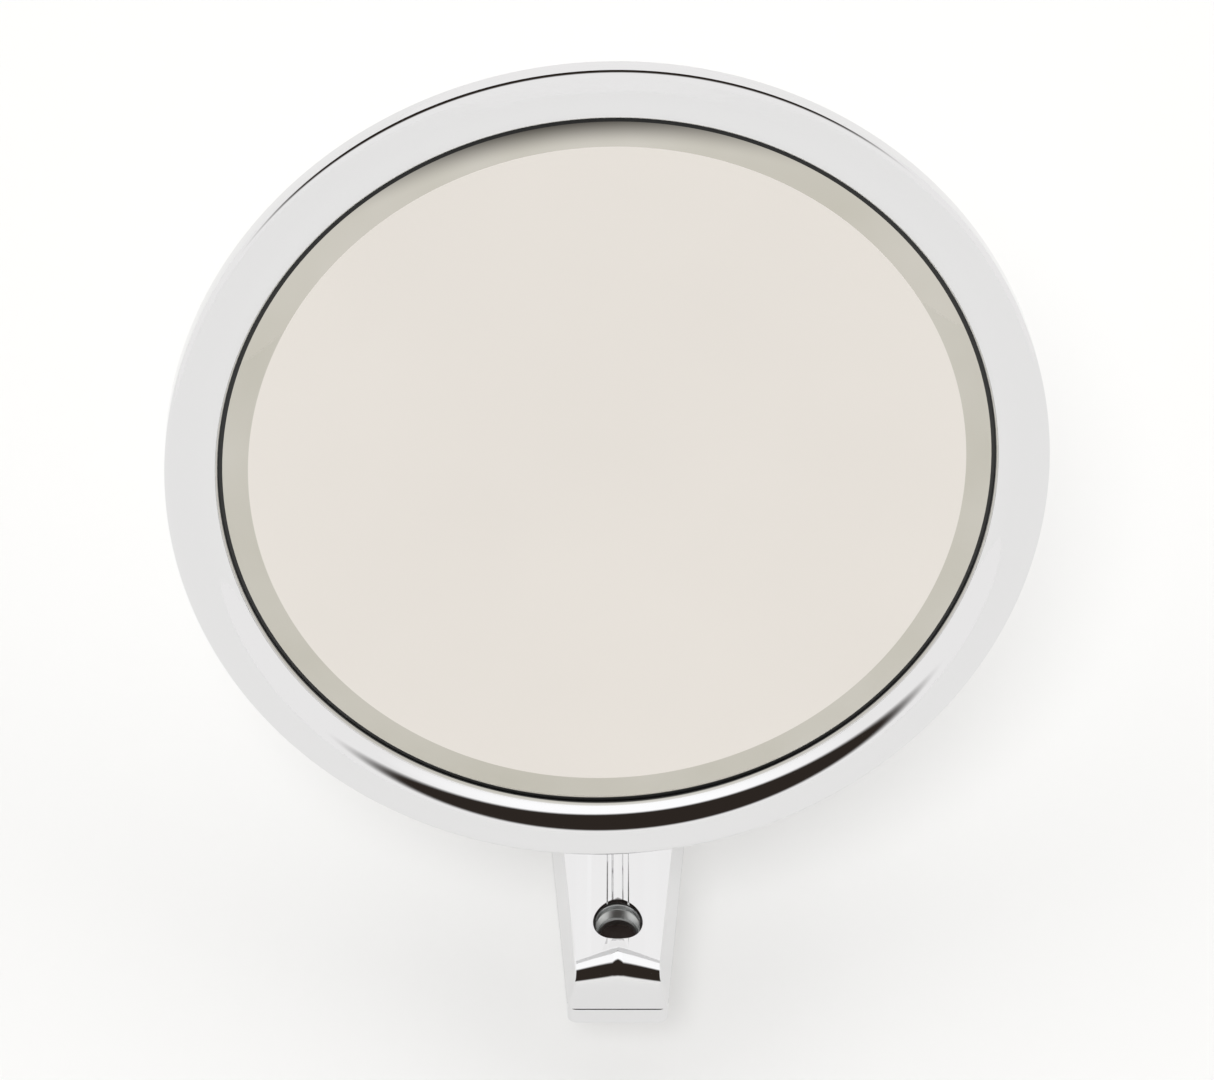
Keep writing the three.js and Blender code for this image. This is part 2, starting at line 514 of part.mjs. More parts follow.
function headParts(head) {
  const outerTip = degrees(lipTip);
  const innerTip = degrees(Math.asin((lipEnd - lipMiddle) / (lipRoll - bezelWall)));   // the end is cut level
  const corner = bezelRadius - bezelCorner;
  const innerCorner = bezelCorner - bezelWall;
  const flangeInner = bezelRadius - bezelFlange;
  const bezel = turned([
    ...arc(lipCentre, lipMiddle, lipRoll, 180 - outerTip, 90, 6),
    ...arc(corner, bezelFront - bezelCorner, bezelCorner, 90, 0, 3),
    ...arc(corner, bezelBack + bezelCorner, bezelCorner, 0, -90, 3),
    [flangeInner, bezelBack],
    [flangeInner, bezelBack + bezelWall],
    ...arc(corner, bezelBack + bezelCorner, innerCorner, -90, 0, 1),
    ...arc(corner, bezelFront - bezelCorner, innerCorner, 0, 90, 1),
    ...arc(lipCentre, lipMiddle, lipRoll - bezelWall, 90, 180 - innerTip, 4)], ringSides);
  piece('bezel_ring', faced(bezel), chrome, head);

  const glass = turned([
    [0, -glassThick], [glassRadius, -glassThick], [glassRadius, -bevelDrop],
    [glassRadius - bevelWidth, 0], [0, 0]], ringSides);
  piece('mirror_glass', faced(glass), mirror, head);
  const padTop = -glassThick - gap;
  const padOuter = glassRadius - padInset;
  piece('foam_ring', faced(tube(glassRadius - padWidth, padOuter, padBack, padTop, ringSides)), foam, head);
  piece('backing_board', faced(disc(padOuter, boardBack, boardBack + boardThick, ringSides)), board, head);

  // back shell: its rim lies inside the bezel, on the rolled-in rear edge
  const rimTop = bezelBack + bezelWall + gap + shellWall;
  const rimRadius = bezelRadius - bezelWall - gap;
  const wallRadius = flangeInner - gap;
  const bowl = (radius, drop) => [radius, shellInside - drop * shellDepth];
  const inside = [bowl(wallRadius - 4.5, 0.03), bowl(wallRadius - 16, 0.4), bowl(wallRadius - 34, 0.78),
    bowl(wallRadius - 52, 0.96), bowl(shellFlat, 1)];
  const outside = inside.map(([radius, height]) => [radius, height - shellWall]).reverse();
  const shell = turned([
    [0, shellBack], ...outside, [wallRadius, rimTop - shellWall - 1.6], [wallRadius, rimTop - shellWall],
    [rimRadius, rimTop - shellWall], [rimRadius, rimTop], [wallRadius - shellWall, rimTop],
    [wallRadius - shellWall, rimTop - shellWall - 1], ...inside, [0, shellInside - shellDepth]], ringSides);
  const spots = Array.from({ length: lugScrewCount }, (_, i) => radians(90 + i * 360 / lugScrewCount)).map(
    (angle) => [lugScrewCircle * Math.cos(angle), lugScrewCircle * Math.sin(angle)]);
  const screwHoles = (low, high) => spots.map(
    ([x, z]) => faced(disc(lugScrewRadius + slip, low, high, 16)).translate(x, 0, z));
  const shellHoles = screwHoles(shellBack - 1, shellBack + shellWall + 1);
  piece('back_shell', cut(faced(shell), ...shellHoles), chrome, head);

  // nut plate inside the shell, lug base outside, three screws through all three
  const plateLow = shellInside - shellDepth + gap;
  const nutPlate = faced(disc(lugBaseRadius, plateLow, plateLow + nutPlateThick, 36));
  piece('nut_plate', cut(nutPlate, ...screwHoles(plateLow - 1, plateLow + nutPlateThick + 1)), steel, head);
  const baseHigh = shellBack - gap;
  const baseLow = baseHigh - lugBaseThick;
  const base = faced(turned([
    [0, baseHigh], [lugBaseRadius, baseHigh], [lugBaseRadius, baseLow + lugBaseEdge],
    [lugBaseRadius - lugBaseEdge, baseLow], [0, baseLow]], 40));
  const eye = alongX(disc(lugRadius, -lugThick / 2, lugThick / 2));
  const rib = new THREE.BoxGeometry(lugThick, lugStand + 1, 2 * lugRadius);
  rib.translate(0, -(lugStand + 1) / 2, 0);
  const eyeHole = alongX(disc(tiltBolt + slip, -lugThick, lugThick));
  const lug = cut(join(base, eye, rib), eyeHole, ...screwHoles(baseLow - 1, baseHigh + 1));
  piece('hinge_lug', lug, chrome, head);
  const lugScrew = screw(lugScrewRadius, lugScrewLength, lugScrewHead, lugScrewHeadThick);
  spots.forEach(([x, z], i) => {
    const shape = faced(lugScrew.clone().rotateX(Math.PI).translate(0, 0, baseLow - gap));
    piece(`lug_screw_${i + 1}`, shape.translate(x, 0, z), steel, head);
  });
}

wallMount();
rearLink();
frontLink();
headParts(neckParts());

export default group;
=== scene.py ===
import json
import math
import bpy
from mathutils import Matrix, Vector


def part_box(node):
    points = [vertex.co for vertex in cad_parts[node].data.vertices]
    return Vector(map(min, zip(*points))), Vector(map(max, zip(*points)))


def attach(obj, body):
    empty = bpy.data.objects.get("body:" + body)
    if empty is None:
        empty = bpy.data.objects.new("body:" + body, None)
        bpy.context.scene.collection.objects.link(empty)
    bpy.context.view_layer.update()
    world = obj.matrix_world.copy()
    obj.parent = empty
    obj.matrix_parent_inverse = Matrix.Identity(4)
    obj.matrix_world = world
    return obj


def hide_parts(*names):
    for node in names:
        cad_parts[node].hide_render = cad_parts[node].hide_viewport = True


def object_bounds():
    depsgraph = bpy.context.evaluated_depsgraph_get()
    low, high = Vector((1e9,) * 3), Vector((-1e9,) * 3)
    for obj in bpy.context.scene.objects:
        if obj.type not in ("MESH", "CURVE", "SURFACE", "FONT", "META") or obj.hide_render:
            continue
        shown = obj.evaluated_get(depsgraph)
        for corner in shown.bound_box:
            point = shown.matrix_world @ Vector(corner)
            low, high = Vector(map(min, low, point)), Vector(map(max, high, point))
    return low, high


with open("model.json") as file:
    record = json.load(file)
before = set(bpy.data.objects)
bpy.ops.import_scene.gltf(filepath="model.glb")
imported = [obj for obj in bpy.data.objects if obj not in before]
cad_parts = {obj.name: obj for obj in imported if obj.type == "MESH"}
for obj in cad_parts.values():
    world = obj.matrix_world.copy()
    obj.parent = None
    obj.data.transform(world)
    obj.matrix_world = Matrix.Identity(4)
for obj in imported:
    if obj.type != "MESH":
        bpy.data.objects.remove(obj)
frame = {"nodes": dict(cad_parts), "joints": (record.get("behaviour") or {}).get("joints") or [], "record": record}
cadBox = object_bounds()
mm = 0.001
joints = {joint["name"]: Vector(joint["pos_m"]) for joint in frame["joints"]}


# elevation in degrees, distances in metres; side and rise slide the camera off the glass's middle
camera = {"elevation": 49.3, "distance": 1.5, "lens": 197.9, "sensor": 36, "side": -0.0002, "rise": -0.0156,
          "clipEnd": 30}


def makeCamera(glassCentre):
    tilt = math.radians(camera["elevation"])
    back = Vector((0, -math.cos(tilt), math.sin(tilt)))
    up = Vector((0, math.sin(tilt), math.cos(tilt)))
    bpy.ops.object.camera_add()
    made = bpy.context.object
    made.data.sensor_width = camera["sensor"]
    made.data.lens = camera["lens"]
    target = glassCentre + Vector((camera["side"], 0, 0)) + up * camera["rise"]
    made.location = target + back * camera["distance"]
    made.rotation_euler = (math.pi / 2 - tilt, 0, 0)
    made.data.clip_end = camera["clipEnd"]
    bpy.context.scene.camera = made


# the tent is grey up to gradeFrom and white from gradeTo, as heights on a unit sphere; angles in degrees
studio = {"tent": "#FFFFFF", "horizon": "#E9E8E7", "gradeFrom": 0.6, "gradeTo": 0.95, "dark": "#2C2622",
          "darkElevation": 42, "darkRadius": 33, "darkEdge": 9, "worldStrength": 1.25, "floor": "#F6F6F5",
          "floorSize": 9, "floorDrop": 0.002, "floorRoughness": 0.9, "floorSpecular": 0.1}


def linear(code):
    # an sRGB hex colour as linear RGBA
    channels = [int(code[i:i + 2], 16) / 255 for i in (1, 3, 5)]
    return [c / 12.92 if c <= 0.04045 else ((c + 0.055) / 1.055) ** 2.4 for c in channels] + [1]


def addNode(tree, kind, settings=None, links=None):
    # one node, its settings and inputs; links are input name -> output socket
    node = tree.nodes.new(kind)
    for key, value in (settings or {}).items():
        if key in node.inputs:
            node.inputs[key].default_value = value
        else:
            setattr(node, key, value)
    for key, socket in (links or {}).items():
        tree.links.new(socket, node.inputs[key])
    return node


def makeWorld():
    world = bpy.data.worlds.new("studioTent")
    bpy.context.scene.world = world
    world.use_nodes = True
    tree = world.node_tree
    tree.nodes.clear()
    coord = addNode(tree, "ShaderNodeTexCoord")
    parts = addNode(tree, "ShaderNodeSeparateXYZ", links={"Vector": coord.outputs["Generated"]})
    height = addNode(tree, "ShaderNodeMapRange",
                     {"From Min": studio["gradeFrom"], "From Max": studio["gradeTo"]},
                     {"Value": parts.outputs["Z"]})
    tent = addNode(tree, "ShaderNodeMix", {"data_type": "RGBA"})
    tent.inputs[6].default_value = linear(studio["horizon"])
    tent.inputs[7].default_value = linear(studio["tent"])
    tree.links.new(height.outputs["Result"], tent.inputs["Factor"])
    # a soft dark opening in the tent, which the chrome's curves pick up
    lift = math.radians(studio["darkElevation"])
    spot = (0, -math.cos(lift), math.sin(lift))
    facing = addNode(tree, "ShaderNodeVectorMath", {"operation": "DOT_PRODUCT"},
                     {0: coord.outputs["Generated"]})
    facing.inputs[1].default_value = spot
    inner = math.cos(math.radians(studio["darkRadius"] - studio["darkEdge"] / 2))
    outer = math.cos(math.radians(studio["darkRadius"] + studio["darkEdge"] / 2))
    hole = addNode(tree, "ShaderNodeMapRange",
                   {"From Min": outer, "From Max": inner, "interpolation_type": "SMOOTHSTEP"},
                   {"Value": facing.outputs["Value"]})
    whole = addNode(tree, "ShaderNodeMix", {"data_type": "RGBA"})
    tree.links.new(tent.outputs[2], whole.inputs[6])
    whole.inputs[7].default_value = linear(studio["dark"])
    tree.links.new(hole.outputs["Result"], whole.inputs["Factor"])
    sky = addNode(tree, "ShaderNodeBackground", {"Strength": studio["worldStrength"]},
                  {"Color": whole.outputs[2]})
    addNode(tree, "ShaderNodeOutputWorld", links={"Surface": sky.outputs["Background"]})


def makeFloor():
    lowest = cadBox[0].z - studio["floorDrop"]
    bpy.ops.mesh.primitive_plane_add(size=studio["floorSize"], location=(0, 0, lowest))
    floor = bpy.context.object
    floor.name = "studioFloor"
    material = newMaterial("paleFloor")
    shade = shaderOf(material)
    shade.inputs["Base Color"].default_value = linear(studio["floor"])
    shade.inputs["Roughness"].default_value = studio["floorRoughness"]
    shade.inputs["Specular IOR Level"].default_value = studio["floorSpecular"]
    floor.data.materials.append(material)


key = {"from": (-0.10, -0.72, 1.0), "strength": 0.75, "angle": 14}


def makeKey():
    # one soft, even light that only draws the shadow on the floor
    bpy.ops.object.light_add(type="SUN")
    lamp = bpy.context.object
    lamp.name = "softKey"
    lamp.data.energy = key["strength"]
    lamp.data.angle = math.radians(key["angle"])
    lamp.visible_glossy = False
    lamp.rotation_euler = Vector(key["from"]).to_track_quat("Z", "Y").to_euler()


def newMaterial(name):
    material = bpy.data.materials.new(name)
    material.use_nodes = True
    return material


def shaderOf(material):
    return material.node_tree.nodes["Principled BSDF"]


# pattern sizes and depths in mm
finishes = {
    "chrome": {"colour": "#E5E5E6", "roughness": 0.03, "smear": 0.035, "smearSize": 14, "smearFrom": 0.42,
               "smearTo": 0.75, "swirl": 0.6, "ripple": 5, "rippleDepth": 0.0006, "rippleStrength": 0.25},
    "silver": {"colour": "#EBE6E0", "roughness": 0.004, "dark": "#E5E0DA", "grain": 60, "detail": 3.0},
    "bevelSilver": {"colour": "#D3D0C9", "roughness": 0.01, "dark": "#BFBCB0", "grain": 25, "detail": 2.0},
    "edgeShade": {"colour": "#1B1C1B", "dark": "#060606", "roughness": 0.35, "ior": 1.52, "grain": 0.8,
                   "detail": 3.0},
    "zinc": {"colour": "#D2D4D3", "roughness": 0.34, "smoother": 0.06, "rougher": 0.1, "grain": 0.6,
             "depth": 0.01},
    "nylon": {"colour": "#E9E7DF", "roughness": 0.45, "ior": 1.53, "grain": 0.8, "depth": 0.02,
              "shade": 0.94},
    "boreShade": {"colour": "#3A2E2A", "roughness": 0.6, "ior": 1.5, "grain": 0.7, "depth": 0.02, "shade": 0.5},
    "foam": {"colour": "#35373A", "roughness": 0.95, "ior": 1.5, "grain": 0.5, "depth": 0.15, "shade": 0.6},
    "hardboard": {"colour": "#7C5A3A", "roughness": 0.8, "ior": 1.5, "grain": 2.0, "depth": 0.08,
                  "shade": 0.7},
}


def perMetre(sizeMm):
    # texture scale for a pattern of that size, on Object coordinates in metres
    return 1 / (sizeMm * mm)


def polishedChrome():
    # bright nickel-chrome plate, buffed: near-mirror, with faint wipe marks and the plating's slight ripple
    values = finishes["chrome"]
    material = newMaterial("polishedChromePlate")
    tree = material.node_tree
    shade = shaderOf(material)
    shade.inputs["Base Color"].default_value = linear(values["colour"])
    shade.inputs["Metallic"].default_value = 1
    place = addNode(tree, "ShaderNodeTexCoord").outputs["Object"]
    smear = addNode(tree, "ShaderNodeTexNoise",
                    {"Scale": perMetre(values["smearSize"]), "Detail": 5.0, "Distortion": values["swirl"]},
                    {"Vector": place})
    rough = addNode(tree, "ShaderNodeMapRange",
                    {"From Min": values["smearFrom"], "From Max": values["smearTo"],
                     "To Min": values["roughness"], "To Max": values["roughness"] + values["smear"]},
                    {"Value": smear.outputs["Fac"]})
    tree.links.new(rough.outputs["Result"], shade.inputs["Roughness"])
    ripple = addNode(tree, "ShaderNodeTexNoise", {"Scale": perMetre(values["ripple"]), "Detail": 1.0},
                     {"Vector": place})
    bump = addNode(tree, "ShaderNodeBump",
                   {"Strength": values["rippleStrength"], "Distance": values["rippleDepth"] * mm},
                   {"Height": ripple.outputs["Fac"]})
    tree.links.new(bump.outputs["Normal"], shade.inputs["Normal"])
    return material


def mottle(tree, place, values):
    # the base colour drifts between two tones in soft patches
    noise = addNode(tree, "ShaderNodeTexNoise",
                    {"Scale": perMetre(values["grain"]), "Detail": values["detail"]}, {"Vector": place})
    tone = addNode(tree, "ShaderNodeMix", {"data_type": "RGBA"})
    tone.inputs[6].default_value = linear(values["dark"])
    tone.inputs[7].default_value = linear(values["colour"])
    tree.links.new(noise.outputs["Fac"], tone.inputs["Factor"])
    tree.links.new(tone.outputs[2], tree.nodes["Principled BSDF"].inputs["Base Color"])


def glassFinish(key, name):
    # float glass: silvered parts mirror what they face; the edge strip is a dark dielectric, painted shade for the
    # shadow under the rim's lip
    values = finishes[key]
    material = newMaterial(name)
    shade = shaderOf(material)
    shade.inputs["Roughness"].default_value = values["roughness"]
    if "ior" in values:
        shade.inputs["IOR"].default_value = values["ior"]
    else:
        shade.inputs["Metallic"].default_value = 1
    place = addNode(material.node_tree, "ShaderNodeTexCoord").outputs["Object"]
    mottle(material.node_tree, place, values)
    return material


def zincSteel():
    # zinc-plated steel hardware: pale grey satin, with fine turning grain
    values = finishes["zinc"]
    material = newMaterial("zincPlatedSteel")
    tree = material.node_tree
    shade = shaderOf(material)
    shade.inputs["Base Color"].default_value = linear(values["colour"])
    shade.inputs["Metallic"].default_value = 1
    place = addNode(tree, "ShaderNodeTexCoord").outputs["Object"]
    grain = addNode(tree, "ShaderNodeTexNoise", {"Scale": perMetre(values["grain"]), "Detail": 3.0},
                    {"Vector": place})
    rough = addNode(tree, "ShaderNodeMapRange",
                    {"To Min": values["roughness"] - values["smoother"],
                     "To Max": values["roughness"] + values["rougher"]},
                    {"Value": grain.outputs["Fac"]})
    tree.links.new(rough.outputs["Result"], shade.inputs["Roughness"])
    bump = addNode(tree, "ShaderNodeBump", {"Strength": 0.3, "Distance": values["depth"] * mm},
                   {"Height": grain.outputs["Fac"]})
    tree.links.new(bump.outputs["Normal"], shade.inputs["Normal"])
    return material


def dullMaterial(key, name):
    # moulded nylon, foam rubber, hardboard and the bore's painted shade: plain dielectrics with their own grain
    values = finishes[key]
    material = newMaterial(name)
    tree = material.node_tree
    shade = shaderOf(material)
    shade.inputs["Roughness"].default_value = values["roughness"]
    shade.inputs["IOR"].default_value = values["ior"]
    place = addNode(tree, "ShaderNodeTexCoord").outputs["Object"]
    grain = addNode(tree, "ShaderNodeTexNoise", {"Scale": perMetre(values["grain"]), "Detail": 4.0},
                    {"Vector": place})
    base = linear(values["colour"])
    tone = addNode(tree, "ShaderNodeMix", {"data_type": "RGBA"})
    tone.inputs[6].default_value = [c * values["shade"] for c in base[:3]] + [1]
    tone.inputs[7].default_value = base
    tree.links.new(grain.outputs["Fac"], tone.inputs["Factor"])
    tree.links.new(tone.outputs[2], shade.inputs["Base Color"])
    bump = addNode(tree, "ShaderNodeBump", {"Strength": 0.5, "Distance": values["depth"] * mm},
                   {"Height": grain.outputs["Fac"]})
    tree.links.new(bump.outputs["Normal"], shade.inputs["Normal"])
    return material


def editOnly(piece):
    if bpy.context.object and bpy.context.object.mode != "OBJECT":
        bpy.ops.object.mode_set(mode="OBJECT")
    bpy.ops.object.select_all(action="DESELECT")
    piece.select_set(True)
    bpy.context.view_layer.objects.active = piece
    bpy.ops.object.mode_set(mode="EDIT")
    bpy.ops.mesh.select_mode(type="EDGE")


def objectOnly(piece):
    if bpy.context.object and bpy.context.object.mode != "OBJECT":
        bpy.ops.object.mode_set(mode="OBJECT")
    bpy.ops.object.select_all(action="DESELECT")
    piece.select_set(True)
    bpy.context.view_layer.objects.active = piece


def shadeEvenly(piece, sharp):
    # smooth shading, with edges sharper than this many degrees kept hard
    objectOnly(piece)
    bpy.ops.object.shade_smooth_by_angle(angle=math.radians(sharp))


def arc(x, y, radius, start, end, steps=8):
    # points of an arc in an outline, angles in degrees
    turns = [math.radians(start + (end - start) * i / steps) for i in range(steps + 1)]
    return [(x + radius * math.cos(t), y + radius * math.sin(t)) for t in turns]


def line(start, end, steps):
    # points between two corners, so that shading stays flat between them
    return [tuple(a + (b - a) * i / steps for a, b in zip(start, end)) for i in range(1, steps)]


core = 0.3  # outlines begin and end this far from the axis, and the small ring is filled
hardEdge = math.radians(35)  # edges sharper than this get a small radius


def turn(name, outline, sides=96, closed=False, sharp=30):
    # a lathe by hand: one ring, extruded and scaled along a (radius, height) outline in mm
    points = outline + [outline[0]] if closed else outline
    radius, height = points[0]
    bpy.ops.object.select_all(action="DESELECT")
    bpy.ops.mesh.primitive_circle_add(vertices=sides, radius=radius * mm, fill_type="NOTHING")
    piece = bpy.context.object
    piece.name = name
    piece.data.name = name
    piece.data.transform(Matrix.Translation((0, 0, height * mm)))
    editOnly(piece)
    bpy.ops.mesh.select_all(action="SELECT")
    for nextRadius, nextHeight in points[1:]:
        bpy.ops.mesh.extrude_region_move(TRANSFORM_OT_translate={"value": (0, 0, (nextHeight - height) * mm)})
        scale = nextRadius / radius
        bpy.ops.transform.resize(value=(scale, scale, 1), center_override=(0, 0, nextHeight * mm))
        radius, height = nextRadius, nextHeight
    bpy.ops.mesh.select_all(action="SELECT")
    bpy.ops.mesh.remove_doubles(threshold=0.001 * mm)
    if not closed:
        bpy.ops.mesh.fill_holes(sides=0)
    bpy.ops.mesh.select_all(action="SELECT")
    bpy.ops.mesh.normals_make_consistent(inside=False)
    shadeEvenly(piece, sharp)
    return piece


def disc(name, radius, low, high, sides):
    # a plain round bar along z, in mm
    return turn(name, [(core, low), (radius, low), (radius, high), (core, high)], sides)


def eyeDisc(name, radius, top):
    # a round eye with its edges broken, as thick as twice top
    edge = 0.4
    outline = [(core, -top), (radius - edge, -top), (radius, -top + edge), (radius, top - edge),
               (radius - edge, top), (core, top)]
    return turn(name, outline, 96)


def block(name, low, high):
    # a box between two corners, in mm
    size = [b - a for a, b in zip(low, high)]
    middle = [(a + b) / 2 * mm for a, b in zip(low, high)]
    bpy.ops.object.select_all(action="DESELECT")
    bpy.ops.mesh.primitive_cube_add(size=1)
    piece = bpy.context.object
    piece.name = name
    piece.data.name = name
    piece.data.transform(Matrix.Translation(middle) @ Matrix.Diagonal([s * mm for s in size] + [1]))
    return piece


def slicePlane(piece, point, outward):
    # cuts away what lies outside a plane and closes the cut
    editOnly(piece)
    bpy.ops.mesh.select_all(action="SELECT")
    bpy.ops.mesh.bisect(plane_co=[p * mm for p in point], plane_no=Vector(outward).normalized(),
                        use_fill=True, clear_outer=True)
    objectOnly(piece)


def bevelEdges(piece, chosen, width, segments):
    # rounds the edges for which chosen(end, otherEnd) is true, ends in mm
    editOnly(piece)
    bpy.ops.mesh.select_all(action="DESELECT")
    bpy.ops.object.mode_set(mode="OBJECT")
    spots = [v.co / mm for v in piece.data.vertices]
    for edge in piece.data.edges:
        edge.select = chosen(*[spots[i] for i in edge.vertices])
    bpy.ops.object.mode_set(mode="EDIT")
    bpy.ops.mesh.bevel(offset=width * mm, segments=segments, profile=0.5, affect="EDGES")
    objectOnly(piece)


def easeWhere(piece, chosen, width):
    # rounds the hard edges whose both ends satisfy chosen(point in mm)
    editOnly(piece)
    bpy.ops.mesh.select_all(action="DESELECT")
    bpy.ops.mesh.edges_select_sharp(sharpness=hardEdge)
    bpy.ops.object.mode_set(mode="OBJECT")
    spots = [v.co / mm for v in piece.data.vertices]
    for edge in piece.data.edges:
        edge.select = edge.select and all(chosen(spots[i]) for i in edge.vertices)
    bpy.ops.object.mode_set(mode="EDIT")
    bpy.ops.mesh.bevel(offset=width * mm, segments=5, profile=0.5, affect="EDGES", miter_outer="ARC",
                       clamp_overlap=True)
    objectOnly(piece)


def applyModifier(piece, kind, **settings):
    objectOnly(piece)
    modifier = piece.modifiers.new(kind.lower(), kind)
    for key, value in settings.items():
        setattr(modifier, key, value)
    bpy.ops.object.modifier_apply(modifier=modifier.name)


def combine(piece, operation, *others):
    for other in others:
        applyModifier(piece, "BOOLEAN", operation=operation, solver="EXACT", object=other)
        bpy.data.objects.remove(other)


def soften(piece, width, segments):
    # small radius on every hard edge, then even shading
    applyModifier(piece, "BEVEL", width=width * mm, segments=segments, limit_method="ANGLE",
                  angle_limit=hardEdge, miter_outer="MITER_ARC")
    shadeEvenly(piece, 30)
    applyModifier(piece, "WEIGHTED_NORMAL", keep_sharp=True, weight=80)


def bakePlace(piece):
    # moves a new primitive's place into its mesh
    piece.data.transform(piece.matrix_world)
    piece.matrix_world = Matrix.Identity(4)
    return piece


def place(piece, matrix):
    piece.data.transform(matrix)
    piece.data.update()
    return piece


def finishPiece(piece, nodes, body, material):
    piece.data.materials.clear()
    piece.data.materials.append(material)
    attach(piece, body)
    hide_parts(*nodes)


def axisMatrix(x, y, z, along="Z"):
    # a piece made along +Z, turned to run along another axis and moved there, mm
    turns = {"Z": Matrix.Identity(4), "-Z": Matrix.Rotation(math.pi, 4, "X"),
             "-Y": Matrix.Rotation(math.pi / 2, 4, "X")}
    return Matrix.Translation((x * mm, y * mm, z * mm)) @ turns[along]


# the head's lean and turn in degrees, and its place behind the tilt bolt in mm
rest = {"lean": 20, "yaw": 2.9, "lugOffset": 4.8, "pivotBehind": 32.2}
elbow = joints["elbow"] / mm
swivel = joints["mirror_swivel"] / mm
wallPivot = joints["wall_swivel"] / mm
tiltAxis = joints["mirror_tilt"] / mm
yawTurn = Matrix.Rotation(math.radians(rest["yaw"]), 4, "Z")
leanTurn = Matrix.Rotation(math.radians(-rest["lean"]), 4, "X")
# frame of the tilt joint: x along its bolt, y to the wall, z up
tiltPlace = Matrix.Translation(tiltAxis * mm) @ yawTurn
# frame of the head: z out of the glass, origin at the middle of its face
headPlace = (tiltPlace @ Matrix.Translation((-rest["lugOffset"] * mm, 0, 0)) @ leanTurn
             @ Matrix.Translation((0, -rest["pivotBehind"] * mm, 0)) @ Matrix.Rotation(math.pi / 2, 4, "X"))

bpy.context.scene.view_settings.view_transform = "Standard"
makeCamera(headPlace.translation)
makeWorld()
makeFloor()
makeKey()
print("studio: camera, world, floor and key light")

chrome = polishedChrome()
silver = glassFinish("silver", "silveredFloatGlass")  # warm from the silver, with a faint bloom
bevelSilver = glassFinish("bevelSilver", "polishedGlassBevel")  # light crosses more glass: darker, greener
edgeShadeMaterial = glassFinish("edgeShade", "paintedEdgeShade")  # painted shade: a thin dark line at the lip, for the shadow gap under the rim and its reflection in the glass
# painted shade: a dark brown matte for the floor of the socket's bore, where the hole lies in shade
boreShade = dullMaterial("boreShade", "paintedBoreShade")
zinc = zincSteel()
nylon = dullMaterial("nylon", "naturalNylon")
foam = dullMaterial("foam", "closedCellFoam")
hardboard = dullMaterial("hardboard", "hardboard")
slotMaterials = {"chrome": chrome, "mirror": silver, "steel": zinc, "nylon": nylon, "foam": foam,
                 "board": hardboard}
for part in frame["record"]["subparts"]:
    carried = frame["nodes"][part["node"]]
    carried.data.materials.clear()
    carried.data.materials.append(slotMaterials[part["material_slot"]])
print("materials made and carried-over pieces painted")


bezel = {"radius": 99.5, "front": 4.2, "back": -5, "sheet": 1.1, "corner": 1.15, "flange": 3.2,
         "opening": 87.5, "roll": 6.4, "tipAngle": 14.85, "skew": 3.8, "sides": 256}


def makeBezel():
    roll = bezel["roll"]
    tip = bezel["tipAngle"]
    rollX = bezel["opening"] + roll * math.cos(math.radians(tip))
    rollY = bezel["front"] - roll
    tipHeight = roll * math.sin(math.radians(tip))
    innerTip = math.degrees(math.asin(tipHeight / (roll - bezel["sheet"])))
    corner = bezel["radius"] - bezel["corner"]
    inner = bezel["corner"] - bezel["sheet"]
    flange = bezel["radius"] - bezel["flange"]
    outline = arc(rollX, rollY, roll, 180 - tip, 90, 26)
    outline += line((rollX, bezel["front"]), (corner, bezel["front"]), 5)
    outline += arc(corner, bezel["front"] - bezel["corner"], bezel["corner"], 90, 0, 8)
    outline += line((bezel["radius"], bezel["front"] - bezel["corner"]),
                    (bezel["radius"], bezel["back"] + bezel["corner"]), 3)
    outline += arc(corner, bezel["back"] + bezel["corner"], bezel["corner"], 0, -90, 8)
    half = bezel["sheet"] / 2
    outline += arc(flange + half, bezel["back"] + half, half, 270, 90, 8)
    outline += arc(corner, bezel["back"] + bezel["corner"], inner, -90, 0, 2)
    outline += arc(corner, bezel["front"] - bezel["corner"], inner, 0, 90, 2)
    outline += arc(rollX, rollY, roll - bezel["sheet"], 90, 180 - innerTip, 12)
    piece = turn("bezelRing", outline, bezel["sides"], closed=True)
    # the face lies nearer to the glass at the top than at the bottom
    tipLevel = rollY + tipHeight
    for vertex in piece.data.vertices:
        upward = (1 + vertex.co.y / mm / bezel["radius"]) / 2
        share = min(max((vertex.co.z / mm - tipLevel) / (bezel["front"] - tipLevel), 0), 1)
        vertex.co.z -= bezel["skew"] * upward * share * mm
    place(piece, headPlace)
    finishPiece(piece, ["bezel_ring"], "head", chrome)


glass = {"radius": 88.6, "thick": 4, "bevelWidth": 7.8, "bevelDrop": 1, "bevelBow": 0.3, "arris": 0.15,
         "shadowWidth": 2, "steps": 12, "sides": 256}


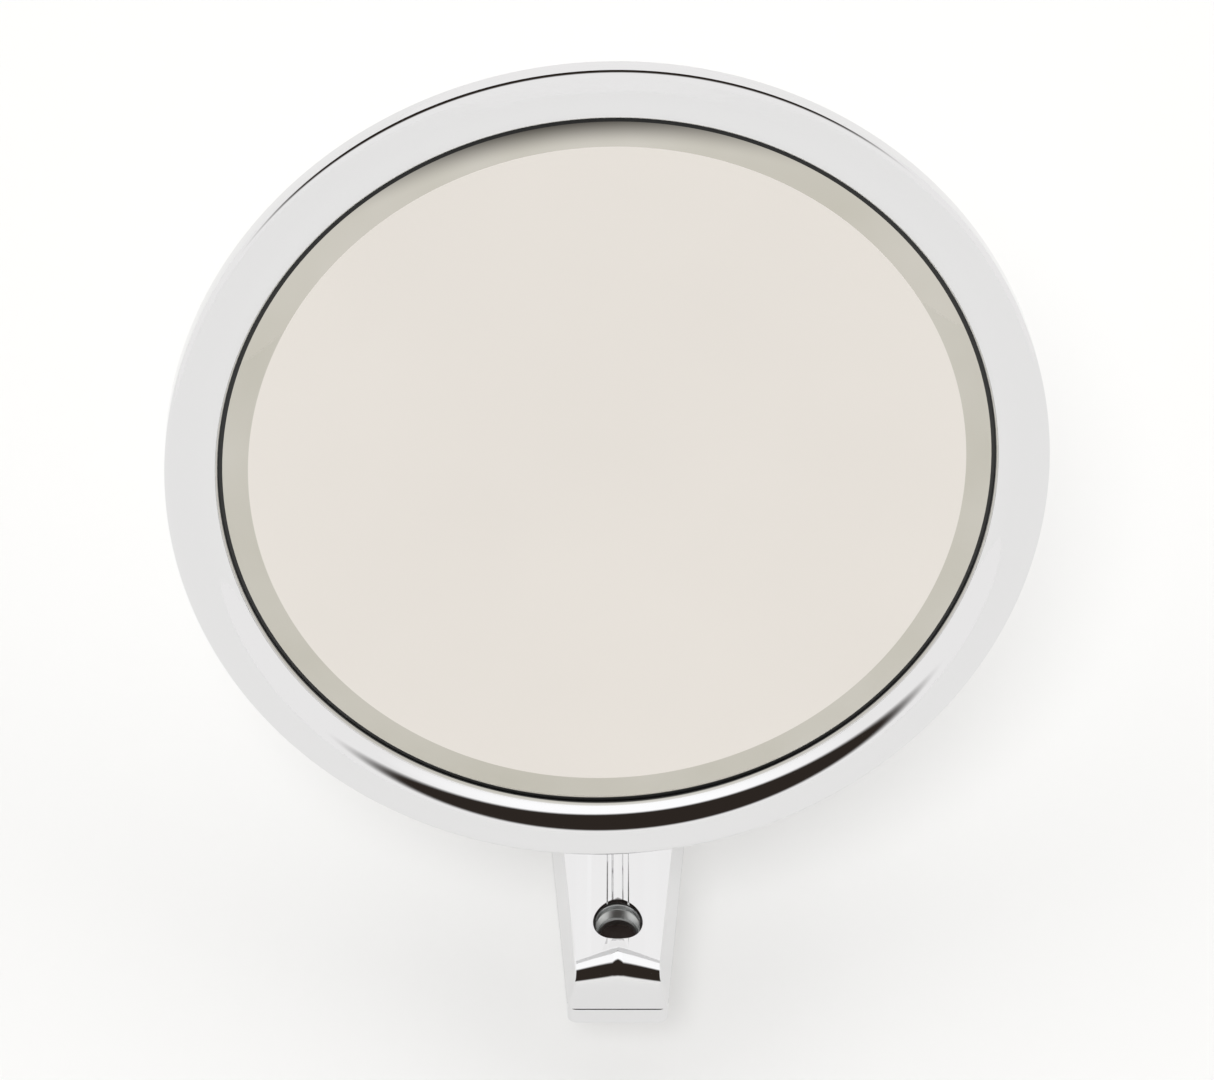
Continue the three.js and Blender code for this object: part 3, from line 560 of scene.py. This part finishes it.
def makeGlass():
    # the bevel is polished slightly convex: it starts shallow and steepens to the edge
    g = glass
    flat = g["radius"] - g["bevelWidth"]
    outline = [(g["radius"] - 0.3, -g["thick"]), (g["radius"], -g["thick"] + 0.3)]
    outline += [(g["radius"], -g["bevelDrop"] - g["arris"]), (g["radius"] - g["arris"], -g["bevelDrop"])]
    for i in range(1, g["steps"] + 1):
        share = 1 - i / g["steps"]
        drop = share * (1 - g["bevelBow"]) + share * share * g["bevelBow"]
        outline.append((flat + (g["bevelWidth"] - g["arris"]) * share, -g["bevelDrop"] * drop))
    piece = turn("mirrorGlass", outline, g["sides"], sharp=2.5)
    finishPiece(piece, ["mirror_glass"], "head", silver)
    piece.data.materials.append(bevelSilver)
    piece.data.materials.append(edgeShadeMaterial)
    for face in piece.data.polygons:
        reach = face.center.xy.length / mm
        isTop = face.center.z > -2 * mm and face.normal.z > 0.5
        face.material_index = 0 if face.normal.z > 0.9999 else 1
        # painted shade: the glass's sides and back, and an outer strip of its face under the lip, take the dark
        # edge material
        if not isTop or reach > g["radius"] - g["shadowWidth"]:
            face.material_index = 2
    place(piece, headPlace)


shell = {"rim": 98.1, "wall": 96, "sheet": 1.1, "rimTop": -2.5, "inside": -8.8, "depth": 8, "flat": 24,
         "crownIn": 4.5, "shoulder": 3, "shoulderDrop": 3.2, "hub": 0.5, "steps": 24, "sides": 192}


def makeShell():
    sheet = shell["sheet"]
    start = shell["wall"] - shell["crownIn"]
    crown = []
    for i in range(shell["steps"] + 1):
        share = i / shell["steps"]
        drop = shell["depth"] * math.sin(share * math.pi / 2)
        crown.append((start - (start - shell["flat"]) * share, shell["inside"] - drop))
    outer = [(r, h - sheet) for r, h in crown]
    rim = shell["rimTop"] - sheet
    shoulder = arc(shell["wall"] - shell["shoulder"], rim - shell["shoulderDrop"], shell["shoulder"],
                   0, -60, 6)
    outline = [(shell["hub"], shell["inside"] - shell["depth"] - sheet)] + outer[::-1] + shoulder[::-1]
    outline += [(shell["wall"], rim), (shell["rim"], rim), (shell["rim"], shell["rimTop"])]
    outline += [(shell["wall"] - sheet, shell["rimTop"]), (shell["wall"] - sheet, rim - 1)] + crown
    outline += [(shell["hub"], shell["inside"] - shell["depth"])]
    piece = turn("backShell", outline, shell["sides"])
    place(piece, headPlace)
    finishPiece(piece, ["back_shell"], "head", chrome)


makeBezel()
makeGlass()
makeShell()
print("head: bezel, glass and back shell")


# shares of the shank's radius or the head's thickness; pitch, crest, root and edge in mm
thread = {"pitch": 0.8, "crest": 0.15, "root": 0.45, "rootShare": 0.9, "tipShare": 0.7, "taperShare": 0.5,
          "domeShare": 0.7, "recessShare": 0.95, "headEdge": 0.25}


def fastener(name, shank, length, head, headThick, recess, shankSides=48):
    # a domed head with a hexagon recess, seated at z = 0, its threaded shank below
    dome = headThick * thread["domeShare"]
    taper = -length + shank * thread["taperShare"]
    outline = [(core, -length), (shank * thread["tipShare"], -length), (shank, taper)]
    threads = int((length - shank) / thread["pitch"])
    for i in range(threads):
        low = taper + i * thread["pitch"]
        outline += [(shank, low + thread["crest"]), (shank * thread["rootShare"], low + thread["root"])]
    outline += [(shank, taper + threads * thread["pitch"]), (shank, 0)]
    outline += [(head - thread["headEdge"], 0), (head, thread["headEdge"])]
    outline += arc(head - dome, headThick - dome, dome, 0, 90, 12) + [(core, headThick)]
    piece = turn(name, outline, shankSides)
    bpy.ops.object.select_all(action="DESELECT")
    bpy.ops.mesh.primitive_cylinder_add(vertices=6, radius=recess * mm, depth=headThick * mm,
                                        location=(0, 0, headThick * thread["recessShare"] * mm))
    combine(piece, "DIFFERENCE", bakePlace(bpy.context.object))
    shadeEvenly(piece, 30)
    return piece


def ringPiece(name, inner, outer, low, high):
    # a washer or bush with its edges broken, along z
    edge = min(0.15, (high - low) / 3)
    outline = [(inner + edge, low), (outer - edge, low), (outer, low + edge), (outer, high - edge),
               (outer - edge, high), (inner + edge, high), (inner, high - edge), (inner, low + edge)]
    return turn(name, outline, closed=True)


neckPlace = Matrix.Translation(swivel.xy.to_3d() * mm) @ yawTurn
boltPlace = tiltPlace @ Matrix.Rotation(math.pi / 2, 4, "Y")
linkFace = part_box("rear_arm")[1].z / mm
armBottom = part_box("front_arm")[0].z / mm
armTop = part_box("front_arm")[1].z / mm
wallTurn = Matrix.Translation((0, wallPivot.y * mm, 0))
elbowTurn = Matrix.Translation((0, elbow.y * mm, 0))
swivelTurn = Matrix.Translation((0, swivel.y * mm, 0))
slip = 0.35  # play round the wall screws
gap = 0.3  # play between a link and its washers
washer = 0.8  # from a link's face to a washer's far side
pinBore = 4.35
elbowBore = 3.95
boltBore = 2.85

# name: CAD node, body, slot, inner and outer radius, low and high, place
rings = {
    "wallBush": ("wall_bush", "rear_link", "nylon", pinBore, 5.65, -linkFace, linkFace, wallTurn),
    "wallWasherUpper": ("wall_washer_upper", "rear_link", "nylon", pinBore, 9.6, linkFace + gap,
                        linkFace + washer, wallTurn),
    "wallWasherLower": ("wall_washer_lower", "rear_link", "nylon", pinBore, 9.6, -linkFace - washer,
                        -linkFace - gap, wallTurn),
    "elbowBush": ("elbow_bush", "rear_link", "nylon", elbowBore, 5.35, -linkFace, linkFace, elbowTurn),
    "elbowWasher": ("elbow_washer", "front_link", "nylon", elbowBore, 10, linkFace + gap, linkFace + washer,
                    elbowTurn),
    "elbowSpringWasher": ("elbow_spring_washer", "front_link", "steel", elbowBore, 6.9, -linkFace - 1.2,
                          -linkFace - gap, elbowTurn),
    "swivelBush": ("swivel_bush", "front_link", "nylon", 5.35, 6.75, armBottom + 4.5, armTop, swivelTurn),
    "swivelWasher": ("swivel_washer", "neck_post", "steel", boltBore, 7.7, armBottom + 3.3, armBottom + 4.2,
                     neckPlace),
    "tiltSpringWasher": ("tilt_spring_washer", "neck_post", "steel", boltBore, 4.7, 2.15, 3.05, boltPlace),
    "tiltWasher": ("tilt_washer", "neck_post", "nylon", boltBore, 6.5, -2.65, -2.15, boltPlace),
}


def makeRings():
    for name, (node, body, slotName, inner, outer, low, high, where) in rings.items():
        piece = place(ringPiece(name, inner, outer, low, high), where)
        finishPiece(piece, [node], body, slotMaterials[slotName])


# name: CAD node, body, slot, shank, length, head, head thickness, recess, place
screws = {
    "wallPin": ("wall_pin", "wall", "chrome", 4, 22.99, 6.6, 2.4, 2.6, axisMatrix(0, wallPivot.y, 9.9)),
    "elbowScrew": ("elbow_screw", "front_link", "chrome", 3.6, 10.8, 7.4, 2.6, 2.4,
                   axisMatrix(0, elbow.y, -linkFace - 1.5, "-Z")),
    "swivelScrew": ("swivel_screw", "neck_post", "steel", 2.5, 9, 6.6, 2.2, 1.9,
                    axisMatrix(0, swivel.y, armBottom + 3, "-Z")),
    "tiltBolt": ("tilt_bolt", "neck_post", "chrome", 2.5, 14, 5.2, 3, 1.9,
                 boltPlace @ axisMatrix(0, 0, 3.35)),
}


lugScrew = {"circle": 13.5, "seat": -21.5, "shank": 1.6, "length": 9, "head": 3, "headThick": 1.5,
            "recess": 1.1, "hole": 1.95}


def thirds(radius):
    # three places round a circle, the first at the top
    angles = [math.radians(90 + i * 120) for i in range(3)]
    return [(radius * math.cos(t), radius * math.sin(t)) for t in angles]


def makeScrews():
    for name, (node, body, slotName, shank, length, head, thick, recess, where) in screws.items():
        piece = place(fastener(name, shank, length, head, thick, recess), where)
        finishPiece(piece, [node], body, slotMaterials[slotName])
    own = lugScrew
    for i, (x, y) in enumerate(thirds(own["circle"])):
        piece = fastener(f"lugScrew{i + 1}", own["shank"], own["length"], own["head"], own["headThick"],
                         own["recess"], 32)
        place(piece, headPlace @ axisMatrix(x, y, own["seat"], "-Z"))
        finishPiece(piece, [f"lug_screw_{i + 1}"], "head", zinc)


def capNut(name, radius, length, bore, boreDeep):
    # a hexagon cap nut: seat at z = 0, dome upwards
    edge = 0.3
    half = length * 0.5
    outline = [(bore, 0), (radius - edge, 0), (radius, edge), (radius, half)]
    dome = [math.radians(angle) for angle in range(10, 86, 5)]
    outline += [(radius * math.cos(t), half + half * math.sin(t)) for t in dome]
    outline += [(core, length), (core, boreDeep), (bore, boreDeep)]
    piece = turn(name, outline, 96, closed=True)
    bpy.ops.object.select_all(action="DESELECT")
    bpy.ops.mesh.primitive_cylinder_add(vertices=6, radius=radius * 1.08 * mm, depth=4 * length * mm)
    combine(piece, "INTERSECT", bakePlace(bpy.context.object))
    soften(piece, 0.12, 2)
    return piece


def makeNuts():
    nut = place(capNut("wallPinNut", 6.4, 4.6, pinBore, 3.3), axisMatrix(0, wallPivot.y, -9.9, "-Z"))
    finishPiece(nut, ["wall_pin_nut"], "wall", chrome)
    nut = place(capNut("tiltNut", 5, 5.5, boltBore, 3.9), boltPlace @ axisMatrix(0, 0, -6.95, "-Z"))
    finishPiece(nut, ["tilt_nut"], "neck_post", chrome)


makeRings()
makeScrews()
makeNuts()
print("bushes, washers, screws and nuts")


# angles in degrees; the socket's depths are from the top
frontArm = {"noseHalf": 11.9, "noseCorner": 2, "noseRoll": 6.9, "sideRoll": 4.6, "rollCurve": 1.3,
            "column": 1.25, "wideHalf": 16, "taperLength": 50, "roof": 16, "draft": 11, "edge": 0.7,
            "underEdge": 0.15, "mouth": 5.85, "mouthEdge": 0.6, "coneTop": 2.1, "coneHigh": 1.3,
            "throat": 5.15, "threadOut": 5.55, "pitch": 0.75, "threads": 4, "socketFloor": 6.2, "bore": 4.5,
            "boreFloor": 8.4, "seat": 8.2, "seatDeep": 4.5, "bushHole": 6.95, "washerRecess": 10.3,
            "washerSeat": 3.6}


def socketOutline(top):
    # a plain mouth, a dished cone, V threads, then the bore over the shoulder screw
    a = frontArm
    cone = top - a["coneTop"] - a["coneHigh"]
    floor = top - a["socketFloor"]
    outline = [(core, top - a["boreFloor"]), (a["bore"], top - a["boreFloor"])]
    outline += [(a["bore"], floor - 0.4), (a["bore"] + 0.3, floor)]
    low = cone - a["threads"] * a["pitch"] - 0.2
    for i in range(a["threads"]):
        outline += [(a["throat"], low + i * a["pitch"]), (a["threadOut"], low + (i + 0.5) * a["pitch"])]
    outline += [(a["throat"], low + a["threads"] * a["pitch"]), (a["throat"] + 0.1, cone)]
    outline += [(a["mouth"], top - a["coneTop"]), (a["mouth"], top - 0.4)]
    return outline + [(a["mouth"] + a["mouthEdge"], top + a["mouthEdge"]), (core, top + a["mouthEdge"])]


def roofedBar(name, noseEnd):
    # a bar with one rolled end, cut into columns that then drop away from the ridge to form a low roof
    a = frontArm
    slope = math.tan(math.radians(a["roof"]))
    piece = block(name, (-a["wideHalf"], noseEnd, armBottom), (a["wideHalf"], swivel.y, armTop))
    editOnly(piece)
    count = int(a["wideHalf"] / a["column"])
    for i in range(-count, count + 1):
        bpy.ops.mesh.select_all(action="SELECT")
        bpy.ops.mesh.bisect(plane_co=(i * a["column"] * mm, 0, 0), plane_no=(1, 0, 0))
    objectOnly(piece)
    bevelEdges(piece, lambda p, q: max(p.y, q.y) < noseEnd + 0.1 and min(p.z, q.z) > armTop - 0.1,
               a["noseRoll"], 32)
    for vertex in piece.data.vertices:
        x, y, z = (value / mm for value in vertex.co)
        if z < armBottom + 0.1:
            continue
        # the roll tightens from the ridge towards the sides
        tighten = min(abs(x) / a["noseHalf"], 1) ** a["rollCurve"]
        part = 1 + (a["sideRoll"] / a["noseRoll"] - 1) * tighten
        if y < noseEnd + a["noseRoll"] + 0.01:
            y = noseEnd + (y - noseEnd) * part
            z = armTop - (armTop - z) * part
        vertex.co = (x * mm, y * mm, (z - abs(x) * slope) * mm)
    return piece


def makeFrontArm():
    a = frontArm
    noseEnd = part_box("front_arm")[0].y / mm
    half = a["wideHalf"]
    piece = roofedBar("frontArm", noseEnd)
    lean = math.tan(math.radians(a["draft"]))
    for side in (-1, 1):
        run = a["taperLength"] - a["noseCorner"]
        slicePlane(piece, (side * a["noseHalf"], noseEnd + a["noseCorner"], armBottom),
                   (side * run, a["noseHalf"] - half, run * lean))
        slicePlane(piece, (side * half, swivel.y, armBottom), (side, 0, lean))
    boss = turn("boss", [(core, armBottom), (half, armBottom), (half - (armTop - armBottom) * lean, armTop),
                         (core, armTop)], 128)
    combine(piece, "UNION", place(boss, swivelTurn))
    easeWhere(piece, lambda p: p.z > armBottom + 0.1, a["edge"])
    soften(piece, a["underEdge"], 2)
    cutter = turn("socketCutter", socketOutline(armTop), 128)
    seatTop = armBottom + a["seatDeep"]
    seatOutline = [(core, armBottom - 1), (a["seat"], armBottom - 1), (a["seat"], seatTop)]
    seatOutline += [(a["bushHole"], seatTop), (a["bushHole"], armTop + 1), (core, armTop + 1)]
    seat = turn("seatCutter", seatOutline, 128)
    recess = disc("recessCutter", a["washerRecess"], armBottom - 1, a["washerSeat"], 96)
    combine(piece, "DIFFERENCE", place(cutter, elbowTurn), place(seat, swivelTurn), place(recess, elbowTurn))
    shadeEvenly(piece, 24)
    finishPiece(piece, ["front_arm"], "front_link", chrome)
    piece.data.materials.append(boreShade)
    piece.data.materials.append(zinc)
    # below the cone the socket is bare: turned threads, and under them the bore, whose floor is painted dark brown
    # as painted shade
    coneFloor = armTop - a["coneTop"] - a["coneHigh"]
    for face in piece.data.polygons:
        spot = face.center / mm
        reach = (spot.xy - elbow.xy).length
        if reach < a["threadOut"] and a["washerSeat"] + 1 < spot.z < coneFloor:
            # painted shade on the bore's floor; the threads and the bore's walls above it are zinc
            face.material_index = 1 if spot.z < armTop - a["boreFloor"] + 0.05 else 2


rearArm = {"noseHalf": 11.9, "noseCorner": 2, "wideHalf": 16, "taperLength": 50, "endHalf": 11, "edge": 0.6,
           "topEdge": 0.15, "wallHole": 5.95, "elbowHole": 5.65}


def makeRearArm():
    a = rearArm
    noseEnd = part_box("rear_arm")[0].y / mm
    wideAt = noseEnd + a["taperLength"]
    piece = block("rearArm", (-a["wideHalf"], noseEnd, -linkFace), (a["wideHalf"], wallPivot.y, linkFace))
    run = a["taperLength"] - a["noseCorner"]
    for side in (-1, 1):
        slicePlane(piece, (side * a["noseHalf"], noseEnd + a["noseCorner"], 0),
                   (side * run, a["noseHalf"] - a["wideHalf"], 0))
        slicePlane(piece, (side * a["endHalf"], wallPivot.y, 0),
                   (side * (wallPivot.y - wideAt), a["wideHalf"] - a["endHalf"], 0))
    bevelEdges(piece, lambda p, q: max(p.y, q.y) < noseEnd + 0.5 and (p.xy - q.xy).length < 0.01,
               a["noseCorner"], 8)
    combine(piece, "UNION", place(disc("armEnd", a["endHalf"], -linkFace, linkFace, 128), wallTurn))
    for radius, where in ((a["wallHole"], wallTurn), (a["elbowHole"], elbowTurn)):
        combine(piece, "DIFFERENCE", place(disc("hole", radius, -5, 5, 96), where))
    easeWhere(piece, lambda p: p.z < linkFace - 0.1, a["edge"])
    soften(piece, a["topEdge"], 2)
    finishPiece(piece, ["rear_arm"], "rear_link", chrome)


makeFrontArm()
makeRearArm()
print("front and rear arms")


neck = {"rod": 4.6, "reach": 18, "straight": 62, "collar": 11, "collarHigh": 6, "collarLip": 1.5, "lug": 7,
        "lugThick": 3.7, "shank": 4, "spigot": 5, "spigotSeat": 4.7, "pinchBelow": 6, "pinchLength": 9,
        "edge": 0.8}


def makeNeck():
    seat = armTop + gap
    pivotZ = tiltAxis.z
    bendFrom = armTop + neck["straight"]
    bendTo = pivotZ - neck["lug"] - neck["shank"] / 2
    half = (bendTo - bendFrom) / 2
    bpy.ops.object.select_all(action="DESELECT")
    bpy.ops.curve.primitive_bezier_curve_add()
    rod = bpy.context.object
    rod.name = "neckRod"
    spline = rod.data.splines[0]
    spline.bezier_points.add(2)
    stations = [(0, seat + neck["collarHigh"] - 1, 5), (0, bendFrom, half), (-neck["reach"], bendTo, half),
                (-neck["reach"], pivotZ - neck["lug"] + 1.5, 2)]
    for point, (y, z, reach) in zip(spline.bezier_points, stations):
        point.handle_left_type = "FREE"
        point.handle_right_type = "FREE"
        point.co = (0, y * mm, z * mm)
        point.handle_left = (0, y * mm, (z - reach) * mm)
        point.handle_right = (0, y * mm, (z + reach) * mm)
    rod.data.dimensions = "3D"
    rod.data.resolution_u = 24
    rod.data.bevel_depth = neck["rod"] * mm
    rod.data.bevel_resolution = 14
    rod.data.use_fill_caps = True
    bpy.ops.object.convert(target="MESH")
    rod = bpy.context.object
    editOnly(rod)
    bpy.ops.mesh.select_all(action="SELECT")
    bpy.ops.mesh.remove_doubles(threshold=0.001 * mm)
    bpy.ops.mesh.normals_make_consistent(inside=False)
    objectOnly(rod)
    # the rod's top is pinched into the flat lug
    top = neck["lugThick"] / 2
    pinch = pivotZ - neck["lug"] - neck["shank"]
    for vertex in rod.data.vertices:
        share = (vertex.co.z / mm - pinch + neck["pinchBelow"]) / neck["pinchLength"]
        share = min(max(share, 0), 1)
        share = share * share * (3 - 2 * share)
        vertex.co.x *= 1 - share * (1 - top / neck["rod"])
    acrossBolt = Matrix.Rotation(math.pi / 2, 4, "Y")
    eyePlace = Matrix.Translation((0, -neck["reach"] * mm, pivotZ * mm)) @ acrossBolt
    eye = place(eyeDisc("eye", neck["lug"], top), eyePlace)
    shank = block("shank", (-top, -neck["reach"] - neck["rod"], pivotZ - neck["lug"] - neck["shank"] / 2),
                  (top, -neck["reach"] + neck["rod"], pivotZ))
    edge = neck["edge"]
    high = neck["collarHigh"]
    spigotEnd = armBottom + neck["spigotSeat"]
    collar = turn("collar", [(core, spigotEnd), (neck["spigot"], spigotEnd), (neck["spigot"], seat),
                             (neck["collar"] - edge, seat)]
                  + arc(neck["collar"] - edge, seat + edge, edge, -90, 0, 5)
                  + arc(neck["collar"] - edge, seat + high * 0.5 - edge, edge, 0, 60, 5)
                  + arc(neck["rod"] + neck["collarLip"] + 1, seat + high, 1, -120, -180, 5)[:4]
                  + [(neck["rod"] + 0.4, seat + high), (core, seat + high)], 128)
    combine(rod, "UNION", shank, eye, collar)
    combine(rod, "DIFFERENCE", place(disc("boltHole", boltBore, -10, 10, 48), eyePlace))
    rod.name = "neckPost"
    rod.data.name = "neckPost"
    shadeEvenly(rod, 30)
    place(rod, neckPlace)
    finishPiece(rod, ["neck"], "neck_post", chrome)


lug = {"base": 19, "baseThick": 3, "edge": 0.8, "eye": 7, "thick": 3.7, "stand": 11, "ease": 0.35}


def makeLug():
    # in the head's tilt frame: x along the bolt, y to the wall; the base faces the shell
    top = lug["thick"] / 2
    back = lug["stand"]
    acrossBolt = Matrix.Rotation(math.pi / 2, 4, "Y")
    eye = place(eyeDisc("hingeLug", lug["eye"], top), acrossBolt)
    rib = block("rib", (-top, -back - 0.5, -lug["eye"]), (top, 0, lug["eye"]))
    edgeFrom = lug["baseThick"] - lug["edge"]
    base = turn("lugBase", [(core, 0), (lug["base"], 0), (lug["base"], edgeFrom)]
                + arc(lug["base"] - lug["edge"], edgeFrom, lug["edge"], 0, 90, 5)[1:]
                + [(core, lug["baseThick"])], 128)
    behind = Matrix.Translation((0, -(back + lug["baseThick"]) * mm, 0))
    place(base, behind @ Matrix.Rotation(-math.pi / 2, 4, "X"))
    combine(eye, "UNION", rib, base)
    combine(eye, "DIFFERENCE", place(disc("eyeHole", boltBore, -10, 10, 48), acrossBolt))
    for x, z in thirds(lugScrew["circle"]):
        screwHole = disc("screwHole", lugScrew["hole"], -30, 30, 32)
        combine(eye, "DIFFERENCE", place(screwHole, axisMatrix(x, 0, z, "-Y")))
    soften(eye, lug["ease"], 3)
    place(eye, tiltPlace @ Matrix.Translation((-rest["lugOffset"] * mm, 0, 0)) @ leanTurn)
    finishPiece(eye, ["hinge_lug"], "head", chrome)


makeNeck()
makeLug()
print("neck and hinge lug")


wallPlate = {"radius": 35, "thick": 6, "corner": 2.5, "backEdge": 0.4, "screwCircle": 25, "wellSpread": 6.8,
             "wellRadius": 3.75, "wellDeep": 3, "wellBore": 2.35}
wallScrew = {"head": 4.4, "radius": 2.1, "sunk": 0.4, "length": 30, "dome": 0.7, "point": 2.5,
             "threadFrom": 4, "pitch": 1.4, "root": 0.72, "neck": 0.8, "crossHalf": 2.3, "bladeHalf": 0.45,
             "crossDeep": 1.4, "turnEach": 25}
bracket = {"earHalf": 11, "inner": 3.6, "outer": 9.6, "web": 1.6, "edge": 0.7, "back": -6.3, "threadDeep": 15}


def makeWallPlate():
    w = wallPlate
    outline = [(core, 0), (w["radius"] - w["backEdge"], 0), (w["radius"], w["backEdge"])]
    outline += arc(w["radius"] - w["corner"], w["thick"] - w["corner"], w["corner"], 0, 90, 14)
    outline += line((w["radius"] - w["corner"], w["thick"]), (core, w["thick"]), 6) + [(core, w["thick"])]
    piece = turn("wallPlate", outline, 192)
    hole = wallScrew["radius"] + slip
    sink = wallScrew["head"] + slip + wallScrew["sunk"]
    for x, z in thirds(w["screwCircle"]):
        cutter = turn("sink", [(core, -1), (hole, -1), (hole, w["thick"] - sink + hole), (sink, w["thick"]),
                               (sink + 1, w["thick"] + 1), (core, w["thick"] + 1)], 64)
        combine(piece, "DIFFERENCE", place(cutter, axisMatrix(x, -z, 0)))
    for x in (-w["wellSpread"], w["wellSpread"]):
        cutter = turn("screwWell", [(core, -1), (w["wellRadius"], -1), (w["wellRadius"], w["wellDeep"]),
                                    (w["wellBore"], w["wellDeep"]), (w["wellBore"], 8), (core, 8)], 48)
        combine(piece, "DIFFERENCE", place(cutter, axisMatrix(x, 0, 0)))
    shadeEvenly(piece, 30)
    place(piece, Matrix.Rotation(math.pi / 2, 4, "X"))
    finishPiece(piece, ["wall_plate"], "wall", chrome)


def makeWallScrews():
    w = wallScrew
    top = wallPlate["thick"] - w["sunk"]
    tip = top - w["length"]
    cone = top - (w["head"] - w["radius"])
    for i, (x, z) in enumerate(thirds(wallPlate["screwCircle"])):
        outline = [(0.1, tip), (0.7, tip + w["point"])]
        low = tip + w["threadFrom"]
        while low < cone - 3:
            outline += [(w["radius"] * w["root"], low), (w["radius"], low + w["pitch"] / 2)]
            low += w["pitch"]
        outline += [(w["radius"] * w["neck"], cone - 1), (w["radius"], cone), (w["head"], top - 0.15)]
        outline += [(w["head"] - 0.1, top), (2.5, top + w["dome"] * 0.7), (core, top + w["dome"])]
        piece = turn(f"wallScrew{i + 1}", outline, 48)
        for turnBy in (0, 90):
            blade = block("crossRecess", (-w["crossHalf"], -w["bladeHalf"], top - w["crossDeep"]),
                          (w["crossHalf"], w["bladeHalf"], top + 2))
            place(blade, Matrix.Rotation(math.radians(turnBy + w["turnEach"] * i), 4, "Z"))
            combine(piece, "DIFFERENCE", blade)
        shadeEvenly(piece, 30)
        place(piece, axisMatrix(x, 0, z, "-Y"))
        finishPiece(piece, [f"wall_screw_{i + 1}"], "wall", zinc)


def makeBracket():
    b = bracket
    y = wallPivot.y
    piece = place(disc("wallBracket", b["earHalf"], -b["outer"], b["outer"], 128), wallTurn)
    stem = block("stem", (-b["earHalf"], y, -b["outer"]), (b["earHalf"], b["back"], b["outer"]))
    web = y + b["earHalf"] + b["web"]
    slot = block("slot", (-20, y - 20, -b["inner"]), (20, web, b["inner"]))
    combine(piece, "UNION", stem)
    combine(piece, "DIFFERENCE", slot, place(disc("pinHole", pinBore, -20, 20, 64), wallTurn))
    for x in (-wallPlate["wellSpread"], wallPlate["wellSpread"]):
        screwHole = disc("bracketThread", wallPlate["wellBore"], 0, b["threadDeep"], 32)
        combine(piece, "DIFFERENCE", place(screwHole, axisMatrix(x, 0, 0, "-Y")))
    # the sides are split first, or the slot's mouth would be filled across
    editOnly(piece)
    bpy.ops.mesh.select_all(action="SELECT")
    bpy.ops.mesh.vert_connect_concave()
    objectOnly(piece)
    soften(piece, b["edge"], 4)
    finishPiece(piece, ["wall_bracket"], "wall", chrome)


makeWallPlate()
makeWallScrews()
makeBracket()
print("wall plate, bracket and screws")
